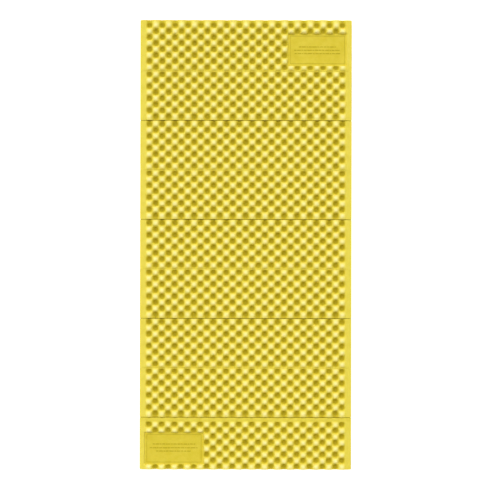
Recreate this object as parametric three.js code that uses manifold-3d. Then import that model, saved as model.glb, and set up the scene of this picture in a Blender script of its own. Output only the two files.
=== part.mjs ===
// A Z-fold foam sleeping pad: nine egg-crate panels of closed-cell foam, joined edge to edge
// by eight thin living hinges that lie alternately on the top and on the underside.
// Millimetres, +Z up. X is the pad's width and +Y points to its head end. The pad lies flat
// and its lowest bumps stand on Z = 0.
import * as THREE from 'three';
import Module from 'manifold-3d';

// Overall size
const WIDTH = 510;
const PANELS = 9;
const PANEL_PITCH = 119.2;    // length of a middle panel, fold to fold
const SHEET = 10;             // foam thickness, measured straight up through the sheet
const RELIEF = 5;             // height of a peak, and depth of a dimple, from the mean face
const MIDDLE = SHEET / 2 + RELIEF;   // height of the sheet's middle above the floor

// Egg-crate lattice: peaks and dimples alternate along both directions
const COLUMN_STEP = 15.5;
const LAST_COLUMN = 15;       // the columns run from -15 to 15
const ROW_STEP = 14.5;
const ROWS = 8;
const BUMP_RUN = 9;           // from a bump's centre to where a flat border begins

// Where the first or last row of bumps lies, measured from the panel's end
const HEAD_END = 13.2;
const TOP_FOLD_END = 8.5;
const UNDER_FOLD_END = 9.2;
const FOOT_BAND = 17.2;        // a plain band crosses the top of the last panel at its fold
const FOOT_PANEL = 125.4;
const FOOT_BORDER = 3;        // plain border under the last panel's foot end

// Folds
const SLIT = 0.3;             // gap between two panels
const LIP = 0.4;              // share of the relief that is left at a slit or a cut end
const WEB_WIDTH = 6;
const WEB_THICK = 1.5;
const CLEAR = 0.3;            // gap between a web and the foam around it

// Flat recessed plaques: the first panel's is on the +X side and the last panel's on the -X side
const PLAQUE_INNER = 101.5;
const PLAQUE_OUTER = 242.5;
const PLAQUE_FIRST_ROW = 3;
const PLAQUE_LAST_ROW = 7;
const PLAQUE_BORDER = 9.2;    // from the centre of its first or last row to its edge
const PLAQUE_DEPTH = 3;       // below the mean level of the top
const PLAQUE_FLOOR = 0.8;     // how far the foam under a plaque reaches below the middle

const foam = new THREE.MeshStandardMaterial({ color: 0xdec33f, roughness: 0.9, metalness: 0 });
const hinge = new THREE.MeshStandardMaterial({ color: 0xd6b92f, roughness: 0.85, metalness: 0 });

const wasm = await Module();
wasm.setup();

const ROWS_SPAN = (ROWS - 1) * ROW_STEP;
const HEAD_PANEL = HEAD_END + ROWS_SPAN + TOP_FOLD_END;
const LENGTH = HEAD_PANEL + (PANELS - 2) * PANEL_PITCH + FOOT_PANEL;

// The web of an odd-numbered fold lies on the top, and that of an even-numbered fold underneath.
function foldIsOnTop(fold) {
  return fold % 2 === 1;
}

function foldY(fold) {
  return LENGTH / 2 - HEAD_PANEL - (fold - 1) * PANEL_PITCH;
}

// Distance from a panel's end to its nearest row of bumps, for the fold at that end.
function foldMargin(fold) {
  return foldIsOnTop(fold) ? TOP_FOLD_END : UNDER_FOLD_END;
}

// The two ends of a panel along Y, and which fold each of them meets (0 for a free edge).
function panelEnds(panel) {
  const headFold = panel - 1;
  const footFold = panel < PANELS ? panel : 0;
  const head = headFold ? foldY(headFold) - SLIT / 2 : LENGTH / 2;
  const foot = footFold ? foldY(footFold) + SLIT / 2 : -LENGTH / 2;
  return { headFold, footFold, head, foot };
}

// Y of a panel's first row. The rows on the two faces differ on the last panel only.
function firstRowY(panel, onTop) {
  if (panel === 1) return LENGTH / 2 - HEAD_END;
  const fold = foldY(panel - 1);
  const plainBand = onTop && panel === PANELS;
  return fold - (plainBand ? FOOT_BAND : foldMargin(panel - 1));
}

// +1 on a peak and -1 in a dimple: odd rows have their dimples on the odd columns.
function bump(column, row) {
  return (Math.abs(column) + row) % 2 === 0 ? -1 : 1;
}

// X of every lattice line, with its column number, or null on the plain side borders.
function latticeColumns() {
  const inner = LAST_COLUMN * COLUMN_STEP + BUMP_RUN;
  const lines = [{ x: -WIDTH / 2, column: null }, { x: -inner, column: null }];
  for (let column = -LAST_COLUMN; column <= LAST_COLUMN; column += 1) {
    lines.push({ x: column * COLUMN_STEP, column });
  }
  lines.push({ x: inner, column: null }, { x: WIDTH / 2, column: null });
  return lines;
}

// Points across one end of a face, from the end itself to the first row of bumps. The relief runs
// out to a slit or a cut end. It stops short of a web, which lies in a rebate of its own, and of
// the plain band and border on the last panel. `end` says which of these this end has.
function endPoints(y, inward, rowY, end, outward) {
  const face = SHEET / 2;
  if (end === 'web') {
    const floor = face - WEB_THICK - CLEAR;
    const wall = y + inward * (WEB_WIDTH / 2 + CLEAR - SLIT / 2);
    return [
      { y, z: outward * floor, lift: 0 },
      { y: wall, z: outward * floor, lift: 0 },
      { y: wall, z: outward * face, lift: 0 },
    ];
  }
  if (end === 'band') {
    return [
      { y, z: outward * face, lift: 0 },
      { y: rowY - inward * BUMP_RUN, z: outward * face, lift: 0 },
    ];
  }
  if (end === 'border') {
    return [
      { y, z: outward * face, lift: 0 },
      { y: y + inward * FOOT_BORDER, z: outward * face, lift: 0 },
      { y: rowY - inward * UNDER_FOLD_END, z: outward * face, lift: LIP },
    ];
  }
  return [{ y, z: outward * face, lift: LIP }];
}

// What one face has at a panel's head end and at its foot end.
function endKinds(panel, onTop) {
  const { headFold, footFold } = panelEnds(panel);
  const kind = (fold) => (fold && foldIsOnTop(fold) === onTop ? 'web' : 'cut');
  if (panel < PANELS) return { head: kind(headFold), foot: kind(footFold) };
  return onTop ? { head: 'band', foot: 'cut' } : { head: 'web', foot: 'border' };
}

// One face of a panel from its head end to its foot end, as points {y, z, lift, row}. `lift` is
// the share of the relief at that point, which takes the sign of the bump in that row.
function faceProfile(panel, onTop) {
  const { head, foot } = panelEnds(panel);
  const kinds = endKinds(panel, onTop);
  const outward = onTop ? 1 : -1;
  const first = firstRowY(panel, onTop);
  const last = first - ROWS_SPAN;
  const points = [];
  for (const p of endPoints(head, -1, first, kinds.head, outward)) {
    points.push({ ...p, row: 1 });
  }
  for (let row = 1; row <= ROWS; row += 1) {
    points.push({ y: first - (row - 1) * ROW_STEP, z: outward * SHEET / 2, lift: 1, row });
  }
  for (const p of endPoints(foot, 1, last, kinds.foot, outward).reverse()) {
    points.push({ ...p, row: ROWS });
  }
  return points;
}

// The whole outline of a panel in the YZ plane: the top towards the foot, then the underside back.
function panelOutline(panel) {
  return [...faceProfile(panel, true), ...faceProfile(panel, false).reverse()];
}

// A panel is its outline carried across the lattice columns, closed by the two side faces.
function panelGeometry(panel) {
  const outline = panelOutline(panel);
  const lines = latticeColumns();
  const size = outline.length;
  const positions = [];
  for (const { x, column } of lines) {
    for (const p of outline) {
      const relief = column === null ? 0 : RELIEF * p.lift * bump(column, p.row);
      positions.push(x, p.y, MIDDLE + p.z + relief);
    }
  }
  const faces = [];
  for (let i = 0; i + 1 < lines.length; i += 1) {
    for (let k = 0; k < size; k += 1) {
      const a = i * size + k;
      const b = i * size + (k + 1) % size;
      faces.push(...quad(positions, [a, b, a + size, b + size], panel % 2 === 1));
    }
  }
  const border = outline.map((p) => new THREE.Vector2(p.y, p.z));
  const lastLine = (lines.length - 1) * size;
  for (const [a, b, c] of THREE.ShapeUtils.triangulateShape(border, [])) {
    faces.push([a, b, c], [lastLine + a, lastLine + c, lastLine + b]);
  }
  return meshGeometry(positions, faces.flat());
}

// Two triangles on the four corners between neighbouring column lines. Odd panels are split
// along the higher diagonal, so their dimples are separate pits, and even panels along the lower
// one, so their peaks stand alone. A folded pair of panels then nests.
function quad(positions, [a, b, c, d], ridged) {
  const height = (corner) => positions[corner * 3 + 2];
  const falling = height(a) + height(d) > height(b) + height(c);
  return falling === ridged ? [[a, d, b], [a, c, d]] : [[a, c, b], [b, c, d]];
}

// A geometry from positions and triangle corners, turned to face outwards if it doesn't already.
function meshGeometry(positions, corners) {
  const index = signedVolume(positions, corners) < 0 ? [...corners].reverse() : corners;
  const geometry = new THREE.BufferGeometry();
  geometry.setAttribute('position', new THREE.Float32BufferAttribute(positions, 3));
  geometry.setIndex(index);
  geometry.computeVertexNormals();
  return geometry;
}

function signedVolume(positions, corners) {
  const a = new THREE.Vector3();
  const b = new THREE.Vector3();
  const c = new THREE.Vector3();
  let volume = 0;
  for (let i = 0; i < corners.length; i += 3) {
    a.fromArray(positions, corners[i] * 3);
    b.fromArray(positions, corners[i + 1] * 3);
    c.fromArray(positions, corners[i + 2] * 3);
    volume += a.dot(b.cross(c)) / 6;
  }
  return volume;
}

function toSolid(geometry) {
  const mesh = new wasm.Mesh({
    numProp: 3,
    vertProperties: new Float32Array(geometry.attributes.position.array),
    triVerts: new Uint32Array(geometry.index.array),
  });
  mesh.merge();
  return new wasm.Manifold(mesh);
}

function boxPositions(box) {
  const positions = [];
  for (const z of [box.min.z, box.max.z]) {
    for (const y of [box.min.y, box.max.y]) {
      for (const x of [box.min.x, box.max.x]) positions.push(x, y, z);
    }
  }
  return positions;
}

function boxGeometry(box) {
  const corners = [
    0, 2, 1, 1, 2, 3, 4, 5, 6, 5, 7, 6, 0, 1, 4, 1, 5, 4,
    2, 6, 3, 3, 6, 7, 0, 4, 2, 2, 4, 6, 1, 3, 5, 3, 7, 5,
  ];
  return meshGeometry(boxPositions(box), corners);
}

// The upright box over one plaque, between two heights.
function plaqueBox(panel, side, bottom, top) {
  const first = firstRowY(panel, true);
  const head = first - (PLAQUE_FIRST_ROW - 1) * ROW_STEP + PLAQUE_BORDER;
  const foot = first - (PLAQUE_LAST_ROW - 1) * ROW_STEP - PLAQUE_BORDER;
  const xs = [side * PLAQUE_INNER, side * PLAQUE_OUTER].sort((a, b) => a - b);
  return toSolid(boxGeometry(new THREE.Box3(
    new THREE.Vector3(xs[0], foot, bottom),
    new THREE.Vector3(xs[1], head, top),
  )));
}

// The dimples in a plaque are filled up to its level, and the peaks are cut down to it.
function addPlaque(geometry, panel, side) {
  const level = MIDDLE + SHEET / 2 - PLAQUE_DEPTH;
  const filled = toSolid(geometry).add(plaqueBox(panel, side, MIDDLE - PLAQUE_FLOOR, level));
  const made = filled.subtract(plaqueBox(panel, side, level, MIDDLE + SHEET)).getMesh();
  return meshGeometry([...made.vertProperties], [...made.triVerts]);
}

function makePanel(panel) {
  let geometry = panelGeometry(panel);
  if (panel === 1) geometry = addPlaque(geometry, panel, 1);
  if (panel === PANELS) geometry = addPlaque(geometry, panel, -1);
  const mesh = new THREE.Mesh(geometry, foam);
  mesh.name = `panel_${panel}`;
  return mesh;
}

// The thin strip of foam that is left across a slit and bends when the pad folds.
function makeWeb(fold) {
  const mesh = new THREE.Mesh(new THREE.BoxGeometry(WIDTH, WEB_WIDTH, WEB_THICK), hinge);
  const side = foldIsOnTop(fold) ? 1 : -1;
  mesh.name = `living_hinge_${fold}`;
  mesh.position.set(0, foldY(fold), MIDDLE + side * (SHEET / 2 - WEB_THICK / 2));
  return mesh;
}

const pad = new THREE.Group();
for (let panel = 1; panel <= PANELS; panel += 1) pad.add(makePanel(panel));
for (let fold = 1; fold < PANELS; fold += 1) pad.add(makeWeb(fold));

export default pad;
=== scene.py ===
import math

import bpy
import numpy as np
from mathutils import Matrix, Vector


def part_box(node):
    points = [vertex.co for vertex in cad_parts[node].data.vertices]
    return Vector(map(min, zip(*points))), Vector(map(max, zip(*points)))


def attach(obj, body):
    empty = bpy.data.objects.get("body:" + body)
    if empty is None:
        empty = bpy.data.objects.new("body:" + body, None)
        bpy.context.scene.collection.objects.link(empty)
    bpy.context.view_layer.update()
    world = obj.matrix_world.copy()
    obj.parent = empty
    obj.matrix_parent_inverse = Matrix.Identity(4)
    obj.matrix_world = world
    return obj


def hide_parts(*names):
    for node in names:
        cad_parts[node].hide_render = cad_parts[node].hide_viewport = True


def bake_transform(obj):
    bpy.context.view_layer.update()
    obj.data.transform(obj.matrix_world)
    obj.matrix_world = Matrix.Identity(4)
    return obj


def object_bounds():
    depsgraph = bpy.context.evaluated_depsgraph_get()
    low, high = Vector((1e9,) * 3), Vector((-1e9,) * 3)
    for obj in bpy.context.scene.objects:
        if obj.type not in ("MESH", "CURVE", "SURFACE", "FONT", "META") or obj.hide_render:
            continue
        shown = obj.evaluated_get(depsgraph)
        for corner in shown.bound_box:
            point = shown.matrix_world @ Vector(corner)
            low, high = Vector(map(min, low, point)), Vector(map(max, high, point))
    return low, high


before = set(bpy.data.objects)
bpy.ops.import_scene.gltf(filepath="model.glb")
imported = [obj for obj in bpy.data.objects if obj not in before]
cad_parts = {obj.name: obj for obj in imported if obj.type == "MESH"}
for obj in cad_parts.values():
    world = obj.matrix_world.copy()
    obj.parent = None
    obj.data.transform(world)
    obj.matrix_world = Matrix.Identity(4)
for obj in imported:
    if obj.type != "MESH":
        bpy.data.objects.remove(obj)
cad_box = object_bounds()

# Sizes in metres, as in the CAD model. The pad lies flat, with its head end at +Y.
MM = 0.001
PANELS = 9
COLUMN_STEP = 15.5 * MM
ROW_STEP = 14.5 * MM
ROWS = 8
LAST_COLUMN = 15
SHEET = 10 * MM
RELIEF = 5 * MM
HEAD_END = 13.2 * MM
TOP_FOLD_END = 8.5 * MM
UNDER_FOLD_END = 9.2 * MM
FOOT_BAND = 17.2 * MM

# Flat recessed plaques on the first and last panels
PLAQUE_INNER = 101.5 * MM
PLAQUE_OUTER = 242.5 * MM
PLAQUE_ROWS = (3, 7)
PLAQUE_BORDER = 9.2 * MM
PLAQUE_DEPTH = 3.8 * MM
PLAQUE_WALL = 2.6            # rise over run of the wall round a plaque
# painted shade: the recessed plaque floor is coloured darker than a plain face
PLAQUE_SHADE_TONE = -0.2

# The moulded surface. Tones run from -1 at the bottom of a hollow to 1 on a peak; they colour the foam
# with painted shade in the hollows and a painted highlight on the peaks.
STEEPNESS = 1.6              # how much flatter a bump's top is, and how much steeper its sides
HOLLOW_NARROWER = 0.055      # keeps the hollows apart, with the ridges between them standing a little high
HELD_LIP = 0.35              # share of the relief left at the lip of a slit
HELD_RUN = 8 * MM
EDGE_ROUND = 1.1 * MM
CREASE_ROUND = 0.9 * MM
LIP_ROUND = 2.0 * MM
LIP_SHADE = 1.6 * MM         # the open lips of a slit are painted darker over this distance, as painted shade
# Painted shade along the creases: the tone there is held down to this level over this distance
CREASE_SHADE = 1.6 * MM
CREASE_SHADE_TONE = -0.25
# Painted shade along the side edges: a thin darker line on both sides
EDGE_SHADE = 1.8 * MM
EDGE_SHADE_TONE = -0.4
BAND_WAVE = 0.9 * MM         # faint waves on the plain band at the head end of the last panel
# painted shade: the plain band is coloured a little darker than a plain face
BAND_SHADE_TONE = -0.08
BAND_FADE = 1 * MM
MARGIN_FALL = 2.2 * MM       # the pinched side edges lie this much below the mean level
CORNER_ROUND = 2.2 * MM
CORNER_RUN = 8 * MM
BUMP_VARIES = 0.025          # the largest share of its relief that a bump falls short by
GRID = 1.5 * MM
EDGE_GRID = np.array([0, 0.06, 0.2, 0.45, 0.8, 1.2, 1.7]) * MM
SHARP = math.radians(60)

rng = np.random.default_rng(7)

low, high = (np.array(corner) for corner in cad_box)
MIDDLE = (low[2] + high[2]) / 2


def fold_is_on_top(fold):
    return fold % 2 == 1


def is_fold(fold):
    return 0 < fold < PANELS


def fold_margin(fold):
    return TOP_FOLD_END if fold_is_on_top(fold) else UNDER_FOLD_END


def panel_ends(panel):
    """Y of a panel's head end and foot end, from its CAD solid."""
    lo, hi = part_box(f"panel_{panel}")
    return hi[1], lo[1]


def fold_y(fold):
    return (panel_ends(fold)[1] + panel_ends(fold + 1)[0]) / 2


def first_row_y(panel, on_top):
    if panel == 1:
        return panel_ends(1)[0] - HEAD_END
    if panel == PANELS and on_top:
        return fold_y(PANELS - 1) - FOOT_BAND
    return fold_y(panel - 1) - fold_margin(panel - 1)


def smooth(t):
    t = np.clip(t, 0, 1)
    return t * t * (3 - 2 * t)


def row_wave(y, first, head_held, foot_held):
    """The relief along Y, from -1 to 1, with the end rows held towards a slit or let down flat."""
    last = first - (ROWS - 1) * ROW_STEP
    wave = np.cos(np.pi * (first - y) / ROW_STEP)
    for beyond, sign, held in ((y - first, 1, head_held), (last - y, -1, foot_held)):
        run = np.clip(beyond, 0, None)
        if held:
            end = HELD_LIP + (1 - HELD_LIP) * (1 - smooth(run / HELD_RUN))
        else:
            end = np.cos(np.pi * np.clip(run / ROW_STEP, 0, 0.5))
        wave = np.where(beyond > 0, sign * end, wave)
    return wave


def column_wave(x):
    wave = np.cos(np.pi * x / COLUMN_STEP)
    return np.where(np.abs(x) < (LAST_COLUMN + 0.5) * COLUMN_STEP, wave, 0)


def shaped(wave, shift):
    """Flattens the tops and steepens the sides. The shift narrows the hollows of an upward face."""
    curve = np.tanh(STEEPNESS * (wave + shift * (1 - wave ** 2)))
    return curve / math.tanh(STEEPNESS)


def face_relief(x, y, panel, on_top, varies):
    """Height of one face above its mean level at each grid point, and its tone of painted shade and
    highlight.
    """
    side = 1 if on_top else -1
    banded = panel == PANELS and on_top
    first = first_row_y(panel, on_top)
    head_held = not banded and (panel == 1 or fold_is_on_top(panel - 1) != on_top)
    foot_held = panel == PANELS or fold_is_on_top(panel) != on_top
    wave = np.outer(column_wave(x), row_wave(y, first, head_held, foot_held))
    relief = RELIEF * shaped(wave, side * HOLLOW_NARROWER)
    # hollows get a dark tone and peaks a pale one: painted shade and painted highlight
    tone = side * wave
    if banded:
        # the plain band takes a tone a little darker than a plain face: painted shade
        in_band = smooth((y - first - ROW_STEP / 2 + BAND_FADE) / (2 * BAND_FADE))[None, :]
        tone = tone + (BAND_SHADE_TONE - tone) * in_band
        relief = relief + BAND_WAVE * in_band * column_wave(x)[:, None]
    column = np.clip(np.rint(x / COLUMN_STEP) + LAST_COLUMN, 0, 2 * LAST_COLUMN).astype(int)
    row = np.clip(np.rint((first - y) / ROW_STEP), 0, ROWS - 1).astype(int)
    return relief * (1 + varies[np.ix_(column, row)]), tone


def plaque_box(panel):
    """(x low, x high, y low, y high) of a panel's plaque, or None."""
    if panel not in (1, PANELS):
        return None
    first = first_row_y(panel, True)
    head = first - (PLAQUE_ROWS[0] - 1) * ROW_STEP + PLAQUE_BORDER
    foot = first - (PLAQUE_ROWS[1] - 1) * ROW_STEP - PLAQUE_BORDER
    if panel == 1:
        return PLAQUE_INNER, PLAQUE_OUTER, foot, head
    return -PLAQUE_OUTER, -PLAQUE_INNER, foot, head


def cut_plaque(relief, x, y, panel):
    """Lets a plaque into the top, with a sloped wall where peaks stand round it."""
    box = plaque_box(panel)
    if box is None:
        return relief
    dx = np.maximum(box[0] - x, x - box[1])[:, None]
    dy = np.maximum(box[2] - y, y - box[3])[None, :]
    outside = np.maximum(dx, dy)
    wall = np.minimum(relief, -PLAQUE_DEPTH + PLAQUE_WALL * np.maximum(outside, 0))
    return np.where(outside <= 0, -PLAQUE_DEPTH, wall)


def rounding(distance, radius):
    """How far a rounded edge falls below its face, at a distance in from the edge."""
    inside = np.clip(radius - distance, 0, radius)
    return radius - np.sqrt(radius ** 2 - inside ** 2)


def spaced(start, end, step):
    """Grid lines from start to end, close together near both ends."""
    near = EDGE_GRID
    count = max(2, round((end - start - 2 * near[-1]) / step))
    middle = np.linspace(start + near[-1], end - near[-1], count + 1)
    return np.concatenate([start + near[:-1], middle, end - near[:-1][::-1]])


def end_round(panel, at_head, on_top):
    """Radius of the rounding along one end of a face."""
    fold = panel - 1 if at_head else panel
    if not is_fold(fold):
        return EDGE_ROUND
    return CREASE_ROUND if fold_is_on_top(fold) == on_top else LIP_ROUND


def end_shade(panel, on_top, from_head, from_foot):
    """The lightest tone allowed near the slits and creases at the ends of a panel: painted shade, darkest
    at the open lips of a slit and lighter along a crease.
    """
    shade = np.ones_like(from_head)
    for fold, distance in ((panel - 1, from_head), (panel, from_foot)):
        if not is_fold(fold):
            continue
        if fold_is_on_top(fold) == on_top:
            near = CREASE_SHADE_TONE + (1 - CREASE_SHADE_TONE) * smooth(distance / CREASE_SHADE)
        else:
            near = -1 + 2 * smooth(distance / LIP_SHADE)
        shade = np.minimum(shade, near)
    return shade


def panel_surface(panel):
    """Grid lines of one panel, and the heights and tones of its two faces."""
    lo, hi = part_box(f"panel_{panel}")
    x = spaced(lo[0], hi[0], GRID)
    y = spaced(lo[1], hi[1], GRID)[::-1]
    from_side = np.minimum(x - lo[0], hi[0] - x)[:, None]
    from_head, from_foot = hi[1] - y, y - lo[1]
    margin = hi[0] - (LAST_COLUMN + 0.5) * COLUMN_STEP
    pinch = MARGIN_FALL * smooth(1 - from_side / margin)
    side_shade = EDGE_SHADE_TONE + (1 - EDGE_SHADE_TONE) * smooth(from_side / EDGE_SHADE)
    faces = []
    varies = rng.normal(0, BUMP_VARIES / 2, (2 * LAST_COLUMN + 1, ROWS)).clip(-BUMP_VARIES, 0)
    tones = []
    for on_top in (True, False):
        side = 1 if on_top else -1
        relief, tone = face_relief(x, y, panel, on_top, varies)
        if on_top:
            relief = cut_plaque(relief, x, y, panel)
            # the plaque floor takes a darker tone: painted shade in the recess
            tone = np.where(relief == -PLAQUE_DEPTH, PLAQUE_SHADE_TONE, tone)
        tone = np.minimum(tone, end_shade(panel, on_top, from_head, from_foot)[None, :])
        tones.append(np.minimum(tone, side_shade))
        fall = rounding(from_side, EDGE_ROUND) + pinch
        for from_end, at_head in ((from_head, True), (from_foot, False)):
            fall = np.maximum(fall, rounding(from_end[None, :], end_round(panel, at_head, on_top)))
        faces.append(MIDDLE + side * (SHEET / 2 - fall) + relief)
    return x, y, faces, tones


def grid_faces(offset, nx, ny, flip):
    i, j = np.meshgrid(np.arange(nx - 1), np.arange(ny - 1), indexing="ij")
    a = offset + i * ny + j
    quads = np.stack([a, a + ny, a + ny + 1, a + 1], axis=-1).reshape(-1, 4)
    return quads[:, ::-1] if flip else quads


def border_loop(nx, ny):
    """Indices round the border of a grid, in order."""
    return np.concatenate([
        np.arange(nx) * ny,
        (nx - 1) * ny + np.arange(1, ny),
        np.arange(nx - 2, -1, -1) * ny + ny - 1,
        np.arange(ny - 2, 0, -1),
    ])


def mesh_object(name, points, quads, sharp, material):
    mesh = bpy.data.meshes.new(name)
    mesh.vertices.add(len(points))
    mesh.vertices.foreach_set("co", np.asarray(points, np.float32).ravel())
    mesh.loops.add(quads.size)
    mesh.loops.foreach_set("vertex_index", quads.astype(np.int32).ravel())
    mesh.polygons.add(len(quads))
    mesh.polygons.foreach_set("loop_start", np.arange(0, quads.size, 4, dtype=np.int32))
    mesh.update(calc_edges=True)
    mesh.validate()
    mesh.shade_smooth()
    mesh.set_sharp_from_angle(angle=sharp)
    mesh.materials.append(material)
    obj = bpy.data.objects.new(name, mesh)
    bpy.context.scene.collection.objects.link(obj)
    return obj


def slab_object(name, gx, gy, upper, lower, material):
    """A closed body between two height fields over one grid, with upright walls."""
    nx, ny = gx.shape
    points = [np.stack([gx, gy, z], axis=-1).reshape(-1, 3) for z in (upper, lower)]
    top = border_loop(nx, ny)
    bottom = top + nx * ny
    wall = np.stack([top, np.roll(top, -1), np.roll(bottom, -1), bottom], axis=-1)
    quads = [grid_faces(0, nx, ny, True), grid_faces(nx * ny, nx, ny, False), wall]
    return mesh_object(name, np.concatenate(points), np.concatenate(quads), SHARP, material)


def set_painted_shade_tones(obj, values):
    """Stores a tone at each point, which the colour of the foam follows: painted shade where the tone is
    low, a painted highlight where it is high.
    """
    attribute = obj.data.attributes.new("relief", "FLOAT", "POINT")
    attribute.data.foreach_set("value", np.asarray(values, np.float32).ravel())


def round_corners(gx, gy):
    """Draws the side edges in at both ends of a panel."""
    from_end = np.minimum(gy.max() - gy, gy - gy.min())
    near_side = smooth(1 - (gx.max() - np.abs(gx)) / CORNER_RUN)
    return gx - np.sign(gx) * near_side * rounding(from_end, CORNER_ROUND)


def make_panel(panel, material):
    x, y, faces, tones = panel_surface(panel)
    gx, gy = np.meshgrid(x, y, indexing="ij")
    obj = slab_object(f"foam_panel_{panel}", round_corners(gx, gy), gy, *faces, material)
    set_painted_shade_tones(obj, np.concatenate([tone.ravel() for tone in tones]))
    return obj


# Living hinges
WEB_HALF = 2.4 * MM
WEB_THICK = 1.0 * MM
WEB_DEPTH = 0.7 * MM         # how far a web lies below the face it is on
WEB_SHORT = 0.4 * MM         # how far it stops short of the ends of the CAD strip
WEB_COLUMNS = 103
BEND_HALF = 1.2 * MM
BEND_ROWS = 25


def make_web(fold, material):
    """A thin strip of foam across one slit, sunk into both panels."""
    lo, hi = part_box(f"living_hinge_{fold}")
    side = 1 if fold_is_on_top(fold) else -1
    outer = MIDDLE + side * (SHEET / 2 - WEB_DEPTH)
    inner = outer - side * WEB_THICK
    x = np.linspace(lo[0] + WEB_SHORT, hi[0] - WEB_SHORT, WEB_COLUMNS)
    bend = np.linspace(-BEND_HALF, BEND_HALF, BEND_ROWS)
    y = fold_y(fold) + np.concatenate([[-WEB_HALF], bend, [WEB_HALF]])[::-1]
    gx, gy = np.meshgrid(x, y, indexing="ij")
    levels = (np.full_like(gx, max(outer, inner)), np.full_like(gx, min(outer, inner)))
    return slab_object(f"hinge_web_{fold}", gx, gy, *levels, material)


# Raised marks on the plaques: a thin frame line and rows of plain bars, with no lettering. They are
# coloured dark, as painted shade for the shadows below the raised marks.
MARK_RISE = 0.3 * MM
MARK_SHADE_TONE = -0.55
MARK_SINK = 0.4 * MM
MARK_LINE = 0.9 * MM
MARK_INSET = 4.5 * MM
BAR_HIGH = 2.0 * MM
BAR_GAP = 1.6 * MM
BAR_LENGTHS = tuple(length * MM for length in (5.5, 9, 3.5, 7, 11, 4.5, 8, 6))
# For each plaque, how far every row lies below its head side and how wide the row is, in mm
BAR_ROWS = {1: ((31, 88), (39, 112), (47, 110)), PANELS: ((28, 103), (37, 117), (45, 86))}
BOX_FACES = ((3, 2, 1, 0), (4, 5, 6, 7), (0, 1, 5, 4), (1, 2, 6, 5), (2, 3, 7, 6), (3, 0, 4, 7))
MARK_SHARP = math.radians(30)


def bar_rectangles(centre, y, wide):
    """(x low, x high, y low, y high) of the plain bars in one row."""
    found = []
    x = centre - wide / 2
    turn = 0
    while x < centre + wide / 2 - BAR_GAP:
        end = min(x + BAR_LENGTHS[turn % len(BAR_LENGTHS)], centre + wide / 2)
        found.append((x, end, y - BAR_HIGH / 2, y + BAR_HIGH / 2))
        x = end + BAR_GAP
        turn += 1
    return found


def mark_rectangles(panel):
    """The frame line and the bars of one plaque."""
    left, right, foot, top_edge = plaque_box(panel)
    left, right = left + MARK_INSET, right - MARK_INSET
    foot, head = foot + MARK_INSET, top_edge - MARK_INSET
    found = [
        (left, right, head - MARK_LINE, head),
        (left, right, foot, foot + MARK_LINE),
        (left, left + MARK_LINE, foot + MARK_LINE, head - MARK_LINE),
        (right - MARK_LINE, right, foot + MARK_LINE, head - MARK_LINE),
    ]
    for below, wide in BAR_ROWS[panel]:
        found += bar_rectangles((left + right) / 2, top_edge - below * MM, wide * MM)
    return found


def make_marks(panel, material):
    level = MIDDLE + SHEET / 2 - PLAQUE_DEPTH
    points, quads = [], []
    for left, right, foot, head in mark_rectangles(panel):
        start = len(points)
        for z in (level - MARK_SINK, level + MARK_RISE):
            points += [(left, foot, z), (right, foot, z), (right, head, z), (left, head, z)]
        quads += [[start + corner for corner in face] for face in BOX_FACES]
    obj = mesh_object(f"plaque_marks_{panel}", points, np.array(quads), MARK_SHARP, material)
    # the marks are coloured dark: painted shade standing in for their shadows
    set_painted_shade_tones(obj, np.full(len(points), MARK_SHADE_TONE))
    return obj


# Look of the foam
FOAM_ROUGHNESS = 0.72
FOAM_SPECULAR = 0.3
FOAM_SUBSURFACE = 0.12
FOAM_SUBSURFACE_RADIUS = (0.004, 0.003, 0.001)
# The foam's own yellow sits mid-ramp. The low end is painted shade, darker and deeper yellow, for hollows.
# The high end is a paler painted highlight for peaks.
FOAM_COLOUR_AND_SHADE_RAMP = (
    (0.0, (0.38, 0.29, 0.0)),
    (0.2, (0.45, 0.345, 0.001)),
    (0.38, (0.68, 0.545, 0.026)),
    (0.5, (0.79, 0.66, 0.072)),
    (0.74, (0.88, 0.77, 0.18)),
    (1.0, (0.94, 0.85, 0.33)),
)
MOTTLE_SCALE = 60.0
MOTTLE = 0.16                # how far along the ramp the mottling spreads a tone
CELL_SCALE = 1100.0
GRAIN_SCALE = 420.0
SKIN_STRENGTH = 0.35
SKIN_DISTANCE = 0.4 * MM


def node(tree, kind, **inputs):
    """A new node. An underscore in the name of an input stands for a space."""
    made = tree.nodes.new(kind)
    for name, value in inputs.items():
        made.inputs[name.replace("_", " ")].default_value = value
    return made


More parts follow.
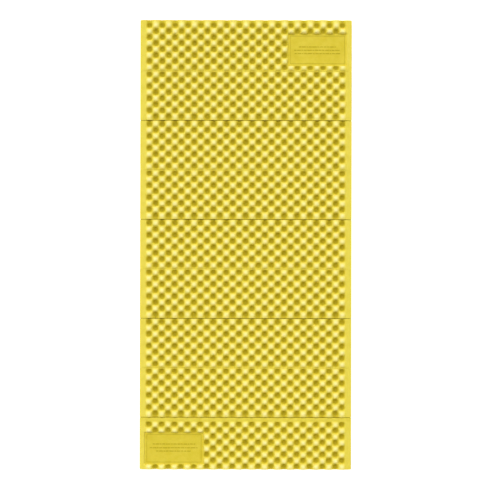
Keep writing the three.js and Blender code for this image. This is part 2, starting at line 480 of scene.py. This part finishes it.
def foam_colour_and_shade(tree, place):
    """The ramp's colour for the tone at a point, moved a little by mottling: the foam's yellow, with
    painted shade in the hollows and a painted highlight on the peaks.
    """
    link = tree.links.new
    # the "relief" attribute holds the tones of painted shade and highlight
    relief = tree.nodes.new("ShaderNodeAttribute")
    relief.attribute_name = "relief"
    cloud = node(tree, "ShaderNodeTexNoise", Scale=MOTTLE_SCALE, Detail=4.0, Roughness=0.6)
    link(place.outputs["Object"], cloud.inputs["Vector"])
    level = node(tree, "ShaderNodeMapRange", From_Min=-1.0, From_Max=1.0)
    link(relief.outputs["Fac"], level.inputs["Value"])
    mottle = tree.nodes.new("ShaderNodeMath")
    mottle.operation = "MULTIPLY_ADD"
    mottle.inputs[1].default_value = MOTTLE
    mottle.inputs[2].default_value = -MOTTLE / 2
    link(cloud.outputs["Fac"], mottle.inputs[0])
    total = tree.nodes.new("ShaderNodeMath")
    total.operation = "ADD"
    link(level.outputs["Result"], total.inputs[0])
    link(mottle.outputs["Value"], total.inputs[1])
    ramp = tree.nodes.new("ShaderNodeValToRGB")
    while len(ramp.color_ramp.elements) < len(FOAM_COLOUR_AND_SHADE_RAMP):
        ramp.color_ramp.elements.new(0.5)
    for element, (position, colour) in zip(ramp.color_ramp.elements, FOAM_COLOUR_AND_SHADE_RAMP):
        element.position = position
        element.color = (*colour, 1)
    link(total.outputs["Value"], ramp.inputs["Fac"])
    return ramp.outputs["Color"]


def foam_skin(tree, place):
    """A normal roughened by fine foam cells and grain."""
    link = tree.links.new
    cells = node(tree, "ShaderNodeTexVoronoi", Scale=CELL_SCALE)
    link(place.outputs["Object"], cells.inputs["Vector"])
    grain = node(tree, "ShaderNodeTexNoise", Scale=GRAIN_SCALE, Detail=3.0)
    link(place.outputs["Object"], grain.inputs["Vector"])
    mix = tree.nodes.new("ShaderNodeMath")
    mix.operation = "ADD"
    link(cells.outputs["Distance"], mix.inputs[0])
    link(grain.outputs["Fac"], mix.inputs[1])
    bump = node(tree, "ShaderNodeBump", Strength=SKIN_STRENGTH, Distance=SKIN_DISTANCE)
    link(mix.outputs["Value"], bump.inputs["Height"])
    return bump.outputs["Normal"]


def foam_material(name, subsurface):
    material = bpy.data.materials.new(name)
    material.use_nodes = True
    tree = material.node_tree
    shader = tree.nodes["Principled BSDF"].inputs
    shader["Roughness"].default_value = FOAM_ROUGHNESS
    shader["Specular IOR Level"].default_value = FOAM_SPECULAR
    shader["Subsurface Weight"].default_value = subsurface
    shader["Subsurface Radius"].default_value = FOAM_SUBSURFACE_RADIUS
    shader["Subsurface Scale"].default_value = 1.0
    place = tree.nodes.new("ShaderNodeTexCoord")
    tree.links.new(foam_colour_and_shade(tree, place), shader["Base Color"])
    tree.links.new(foam_skin(tree, place), shader["Normal"])
    return material


foam = foam_material("foam", FOAM_SUBSURFACE)
hinge_foam = foam_material("hinge_foam", 0.0)

for panel in range(1, PANELS + 1):
    piece = make_panel(panel, foam)
    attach(piece, f"panel_{panel}")
    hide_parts(f"panel_{panel}")

for panel in (1, PANELS):
    marks = make_marks(panel, foam)
    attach(marks, f"panel_{panel}")

for fold in range(1, PANELS):
    web = make_web(fold, hinge_foam)
    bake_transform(web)
    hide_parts(f"living_hinge_{fold}")


# Floor, lights and camera
WHITE = (1, 1, 1, 1)
FLOOR_HALF = 30
FLOOR_COLOUR = (0.95, 0.95, 0.95, 1)
FLOOR_ROUGHNESS = 0.9
FLOOR_GLOW = 0.6             # keeps the floor nearly white under the pad
SKY = 0.33
HORIZON_WHITE = 0.25         # the height on the unit sphere up to which the sky is full white
HORIZON_FADE = 0.1
KEY_TOWARDS = (-0.35, 1.0, 1.35)
TOP_TOWARDS = (0.0, 0.0, 1.0)
CAMERA_UP = 2.7
CAMERA_PLACE = (0.0104, -0.0127)
CAMERA_TURN = math.radians(0.12)
PAD_SHARE = 0.4226           # the pad's width as a share of the view's width
SENSOR = 36


def make_floor():
    half = FLOOR_HALF
    corners = [(-half, -half, 0), (half, -half, 0), (half, half, 0), (-half, half, 0)]
    mesh = bpy.data.meshes.new("floor")
    mesh.from_pydata(corners, [], [(0, 1, 2, 3)])
    floor = bpy.data.objects.new("floor", mesh)
    bpy.context.scene.collection.objects.link(floor)
    material = bpy.data.materials.new("floor")
    material.use_nodes = True
    paper = material.node_tree.nodes["Principled BSDF"].inputs
    paper["Base Color"].default_value = FLOOR_COLOUR
    paper["Roughness"].default_value = FLOOR_ROUGHNESS
    paper["Emission Color"].default_value = WHITE
    paper["Emission Strength"].default_value = FLOOR_GLOW
    mesh.materials.append(material)


def sun_light(name, towards, strength, spread):
    """A distant light in the given direction from the pad. The spread, in degrees, softens its shadows."""
    data = bpy.data.lights.new(name, "SUN")
    data.energy = strength
    data.angle = math.radians(spread)
    light = bpy.data.objects.new(name, data)
    light.location = towards
    light.rotation_mode = "QUATERNION"
    light.rotation_quaternion = (-Vector(towards)).to_track_quat("-Z", "Y")
    bpy.context.scene.collection.objects.link(light)


def make_world():
    """An even white sky, full white near the horizon so that low views have a white backdrop."""
    world = bpy.data.worlds.new("studio")
    bpy.context.scene.world = world
    world.use_nodes = True
    tree = world.node_tree
    background = tree.nodes["Background"]
    background.inputs["Color"].default_value = WHITE
    place = tree.nodes.new("ShaderNodeTexCoord")
    split = tree.nodes.new("ShaderNodeSeparateXYZ")
    tree.links.new(place.outputs["Generated"], split.inputs["Vector"])
    fade = node(
        tree, "ShaderNodeMapRange", To_Min=1.0, To_Max=SKY,
        From_Min=HORIZON_WHITE, From_Max=HORIZON_WHITE + HORIZON_FADE,
    )
    tree.links.new(split.outputs["Z"], fade.inputs["Value"])
    tree.links.new(fade.outputs["Result"], background.inputs["Strength"])


def make_camera():
    """Straight above the pad, looking down."""
    data = bpy.data.cameras.new("camera")
    data.sensor_width = SENSOR
    span = (high[0] - low[0]) / PAD_SHARE
    data.lens = SENSOR * (CAMERA_UP - MIDDLE) / span
    camera = bpy.data.objects.new("camera", data)
    camera.location = (*CAMERA_PLACE, CAMERA_UP)
    camera.rotation_euler = (0, 0, CAMERA_TURN)
    bpy.context.scene.collection.objects.link(camera)
    bpy.context.scene.camera = camera


make_floor()
sun_light("key", KEY_TOWARDS, 1.8, 12)
sun_light("top", TOP_TOWARDS, 0.7, 60)
make_world()
make_camera()
bpy.context.scene.view_settings.view_transform = "Standard"
